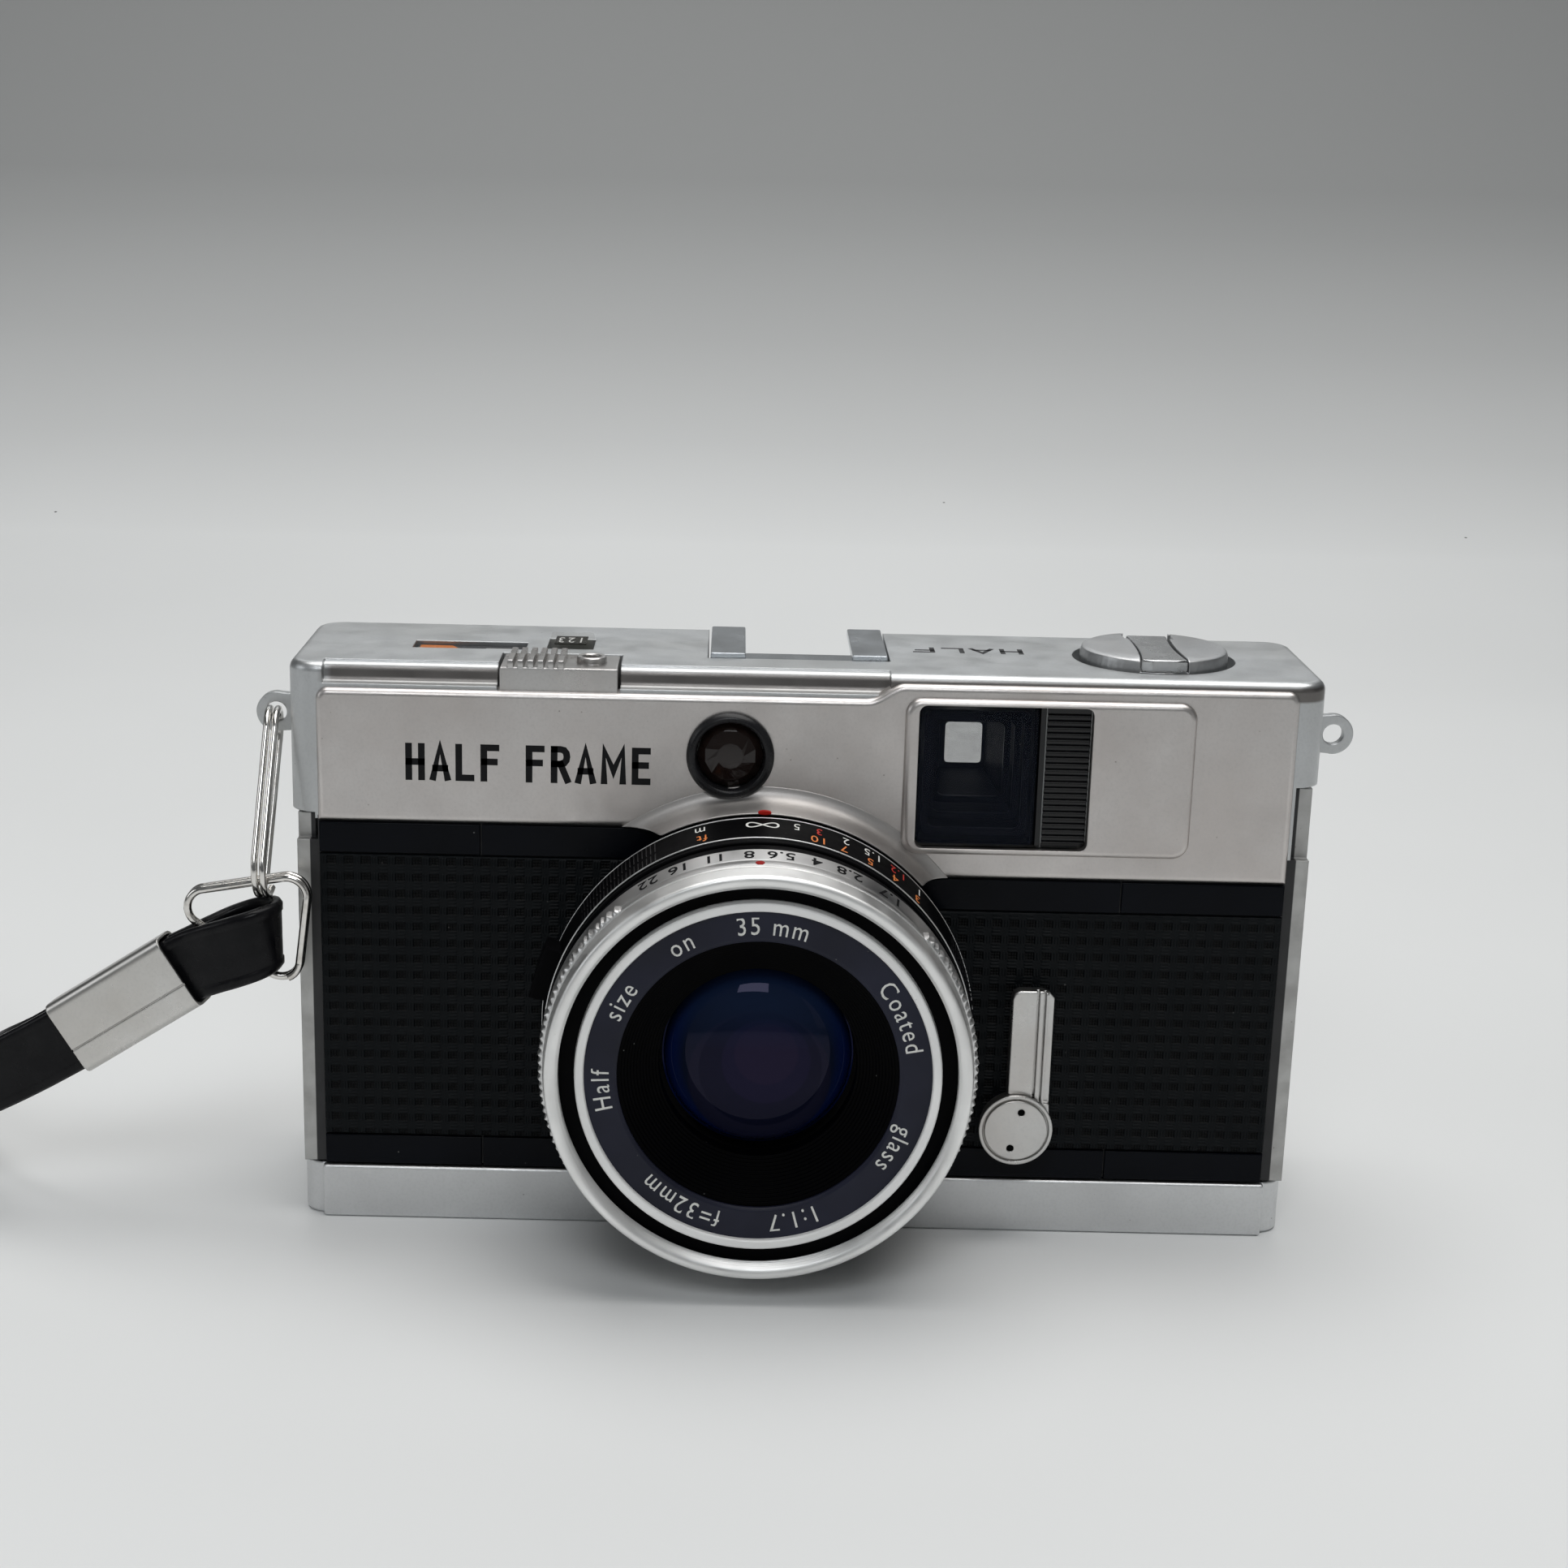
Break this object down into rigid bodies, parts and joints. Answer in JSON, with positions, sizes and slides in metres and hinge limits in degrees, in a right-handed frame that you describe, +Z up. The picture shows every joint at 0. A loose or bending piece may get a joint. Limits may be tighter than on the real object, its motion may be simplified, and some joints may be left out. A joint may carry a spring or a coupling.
{
  "type": "half frame camera",
  "caption": "Compact half frame film camera: fixed lens with focus and aperture rings, thumb-wheel advance, hot shoe, fold-out rewind crank, hinged back and a wrist strap on a split ring.",
  "frame": {"origin": "middle of the flat base, on the surface that the camera stands on", "axes": "+X towards the rewind side, the camera's left as it is held; -Y the way the lens looks; +Z up"},
  "size_m": [0.2223, 0.0944, 0.068],
  "materials": {
    "satin_chrome": "satin",
    "bottom_chrome": "satin",
    "castings": "satin",
    "black_leatherette": "embossed grid",
    "gloss_trim": "gloss",
    "black_enamel": "gloss",
    "silver_ring": "satin",
    "name_blue": "satin",
    "coated_glass": "coated, polished",
    "clear_glass": "polished",
    "blackened_steel": "blackened",
    "steel": "polished",
    "brass": "polished",
    "black_plastic": "matt",
    "orange_scale": "matt",
    "white_dial": "matt",
    "strap_vinyl": "gloss"
  },
  "bodies": {
    "root": {"body_casting": "castings", "top_cover": "satin_chrome", "bottom_cover": "bottom_chrome", "trim_lower_left": "gloss_trim", "trim_lower_right": "gloss_trim", "trim_upper_left": "gloss_trim", "trim_upper_right": "gloss_trim", "leatherette_left": "black_leatherette", "leatherette_right": "black_leatherette", "hinge_pin": "steel", "lens_flange": "black_enamel", "viewfinder_tube": "black_plastic", "viewfinder_window": "clear_glass", "viewfinder_screen": "black_plastic", "eyepiece": "clear_glass", "meter_cell_bezel": "black_enamel", "meter_cell_lens": "clear_glass", "meter_movement": "blackened_steel", "meter_window": "clear_glass", "counter_window": "clear_glass", "hot_shoe": "satin_chrome", "shoe_contact": "brass", "battery": "steel", "tripod_socket": "steel", "strap_lug_left": "satin_chrome", "strap_lug_right": "satin_chrome", "release_spring": "steel"},
    "back_door": {"back_door": "castings", "leatherette_back": "black_leatherette", "pressure_plate": "blackened_steel"},
    "back_latch": {"back_latch": "steel"},
    "focus_ring": {"focus_ring": "black_enamel"},
    "lens_unit": {"lens_barrel": "black_enamel", "shutter_case": "blackened_steel", "front_lens": "coated_glass", "rear_lens": "coated_glass", "front_baffle": "black_plastic", "name_ring": "name_blue", "filter_ring": "silver_ring"},
    "aperture_ring": {"aperture_ring": "silver_ring"},
    "shutter_blade_upper": {"shutter_blade_upper": "blackened_steel"},
    "shutter_blade_lower": {"shutter_blade_lower": "blackened_steel"},
    "release_button": {"release_button": "satin_chrome"},
    "rewind_knob": {"rewind_knob": "satin_chrome", "rewind_shaft": "steel"},
    "rewind_crank": {"rewind_crank": "satin_chrome"},
    "advance_wheel": {"advance_wheel": "black_plastic"},
    "take_up_spool": {"take_up_spool": "black_plastic"},
    "film_sprocket": {"film_sprocket": "black_plastic"},
    "counter_dial": {"counter_dial": "white_dial"},
    "rewind_release_button": {"rewind_release_button": "steel"},
    "meter_needle": {"meter_needle": "orange_scale"},
    "battery_cover": {"battery_cover": "steel"},
    "self_timer_lever": {"self_timer_lever": "silver_ring", "self_timer_screw": "silver_ring"},
    "strap_link": {"strap_link": "steel"},
    "strap_ring": {"strap_ring": "steel"},
    "wrist_strap": {"strap_sleeve": "steel", "strap_tab": "strap_vinyl", "wrist_strap": "strap_vinyl"}
  },
  "joints": [
    {"name": "back_door_swing", "type": "hinge", "parent": "root", "child": "back_door", "pos_m": [-0.0563, 0.0112, 0.026], "axis": [0, 0, 1], "range_deg": [0, 105]},
    {"name": "back_latch_slide", "type": "slide", "parent": "root", "child": "back_latch", "axis": [0, 0, -1], "range_m": [0, 0.003]},
    {"name": "focus_turn", "type": "hinge", "parent": "root", "child": "focus_ring", "pos_m": [-0.00475, -0.0208, 0.0264], "axis": [0, -1, 0], "range_deg": [0, 100]},
    {"name": "lens_unit_travel", "type": "slide", "parent": "root", "child": "lens_unit", "axis": [0, -1, 0], "range_m": [0, 0.00133]},
    {"name": "aperture_turn", "type": "hinge", "parent": "lens_unit", "child": "aperture_ring", "pos_m": [-0.00475, -0.0303, 0.0264], "axis": [0, 1, 0], "range_deg": [0, 105]},
    {"name": "upper_blade_swing", "type": "hinge", "parent": "lens_unit", "child": "shutter_blade_upper", "pos_m": [0.00515, -0.0188, 0.0294], "axis": [0, 1, 0], "range_deg": [0, 28], "stiffness_Nm_per_rad": 0.0002},
    {"name": "lower_blade_swing", "type": "hinge", "parent": "lens_unit", "child": "shutter_blade_lower", "pos_m": [-0.01465, -0.0201, 0.0234], "axis": [0, 1, 0], "range_deg": [0, 28]},
    {"name": "release_press", "type": "slide", "parent": "root", "child": "release_button", "axis": [0, 0, -1], "range_m": [0, 0.0018], "stiffness_N_per_m": 450, "springref_m": -0.0012, "deforming": ["release_spring"]},
    {"name": "rewind_turn", "type": "hinge", "parent": "root", "child": "rewind_knob", "pos_m": [0.0405, 0.00015, 0.0665], "axis": [0, 0, 1], "continuous": true},
    {"name": "crank_fold", "type": "hinge", "parent": "rewind_knob", "child": "rewind_crank", "pos_m": [0.0405, 0.00565, 0.06725], "axis": [-1, 0, 0], "range_deg": [0, 165]},
    {"name": "advance_turn", "type": "hinge", "parent": "root", "child": "advance_wheel", "pos_m": [-0.042, 0.0026, 0.05], "axis": [0, 0, 1], "continuous": true},
    {"name": "spool_turn", "type": "hinge", "parent": "root", "child": "take_up_spool", "pos_m": [-0.042, 0.0026, 0.026], "axis": [0, 0, 1], "continuous": true},
    {"name": "sprocket_turn", "type": "hinge", "parent": "root", "child": "film_sprocket", "pos_m": [-0.025, 0.0026, 0.026], "axis": [0, 0, 1], "continuous": true},
    {"name": "counter_turn", "type": "hinge", "parent": "root", "child": "counter_dial", "pos_m": [-0.0273, 0.0052, 0.0644], "axis": [0, 0, 1], "continuous": true},
    {"name": "rewind_release_press", "type": "slide", "parent": "root", "child": "rewind_release_button", "axis": [0, 0, 1], "range_m": [0, 0.0015], "stiffness_N_per_m": 250, "springref_m": -0.001},
    {"name": "needle_swing", "type": "hinge", "parent": "root", "child": "meter_needle", "pos_m": [-0.0395, 0.0066, 0.0642], "axis": [0, 0, 1], "range_deg": [-20, 20], "stiffness_Nm_per_rad": 0.00001},
    {"name": "battery_cover_turn", "type": "hinge", "parent": "root", "child": "battery_cover", "pos_m": [0.0165, -0.0015, 0.0013], "axis": [0, 0, -1], "range_deg": [0, 720]},
    {"name": "self_timer_swing", "type": "hinge", "parent": "root", "child": "self_timer_lever", "pos_m": [0.0254, -0.0157, 0.0142], "axis": [0, 1, 0], "range_deg": [0, 100]},
    {"name": "link_swing", "type": "hinge", "parent": "root", "child": "strap_link", "pos_m": [-0.0609, -0.0046, 0.0591], "axis": [0, 1, 0], "range_deg": [0, 80]},
    {"name": "ring_swivel", "type": "hinge", "parent": "strap_link", "child": "strap_ring", "pos_m": [-0.0615, -0.0154, 0.0402], "axis": [0, 0, -1], "range_deg": [0, 25]},
    {"name": "strap_swing", "type": "hinge", "parent": "strap_ring", "child": "wrist_strap", "pos_m": [-0.0633, -0.0152, 0.0327], "axis": [0.8148, 0, -0.5798], "range_deg": [0, 25]}
  ],
  "couplings": [
    {"joint": "lens_unit_travel", "follows": "focus_turn", "m_per_rad": 0.00076203},
    {"joint": "lower_blade_swing", "follows": "upper_blade_swing", "ratio": 1},
    {"joint": "spool_turn", "follows": "advance_turn", "ratio": 1},
    {"joint": "sprocket_turn", "follows": "advance_turn", "ratio": -1},
    {"joint": "counter_turn", "follows": "advance_turn", "ratio": 0.025}
  ]
}
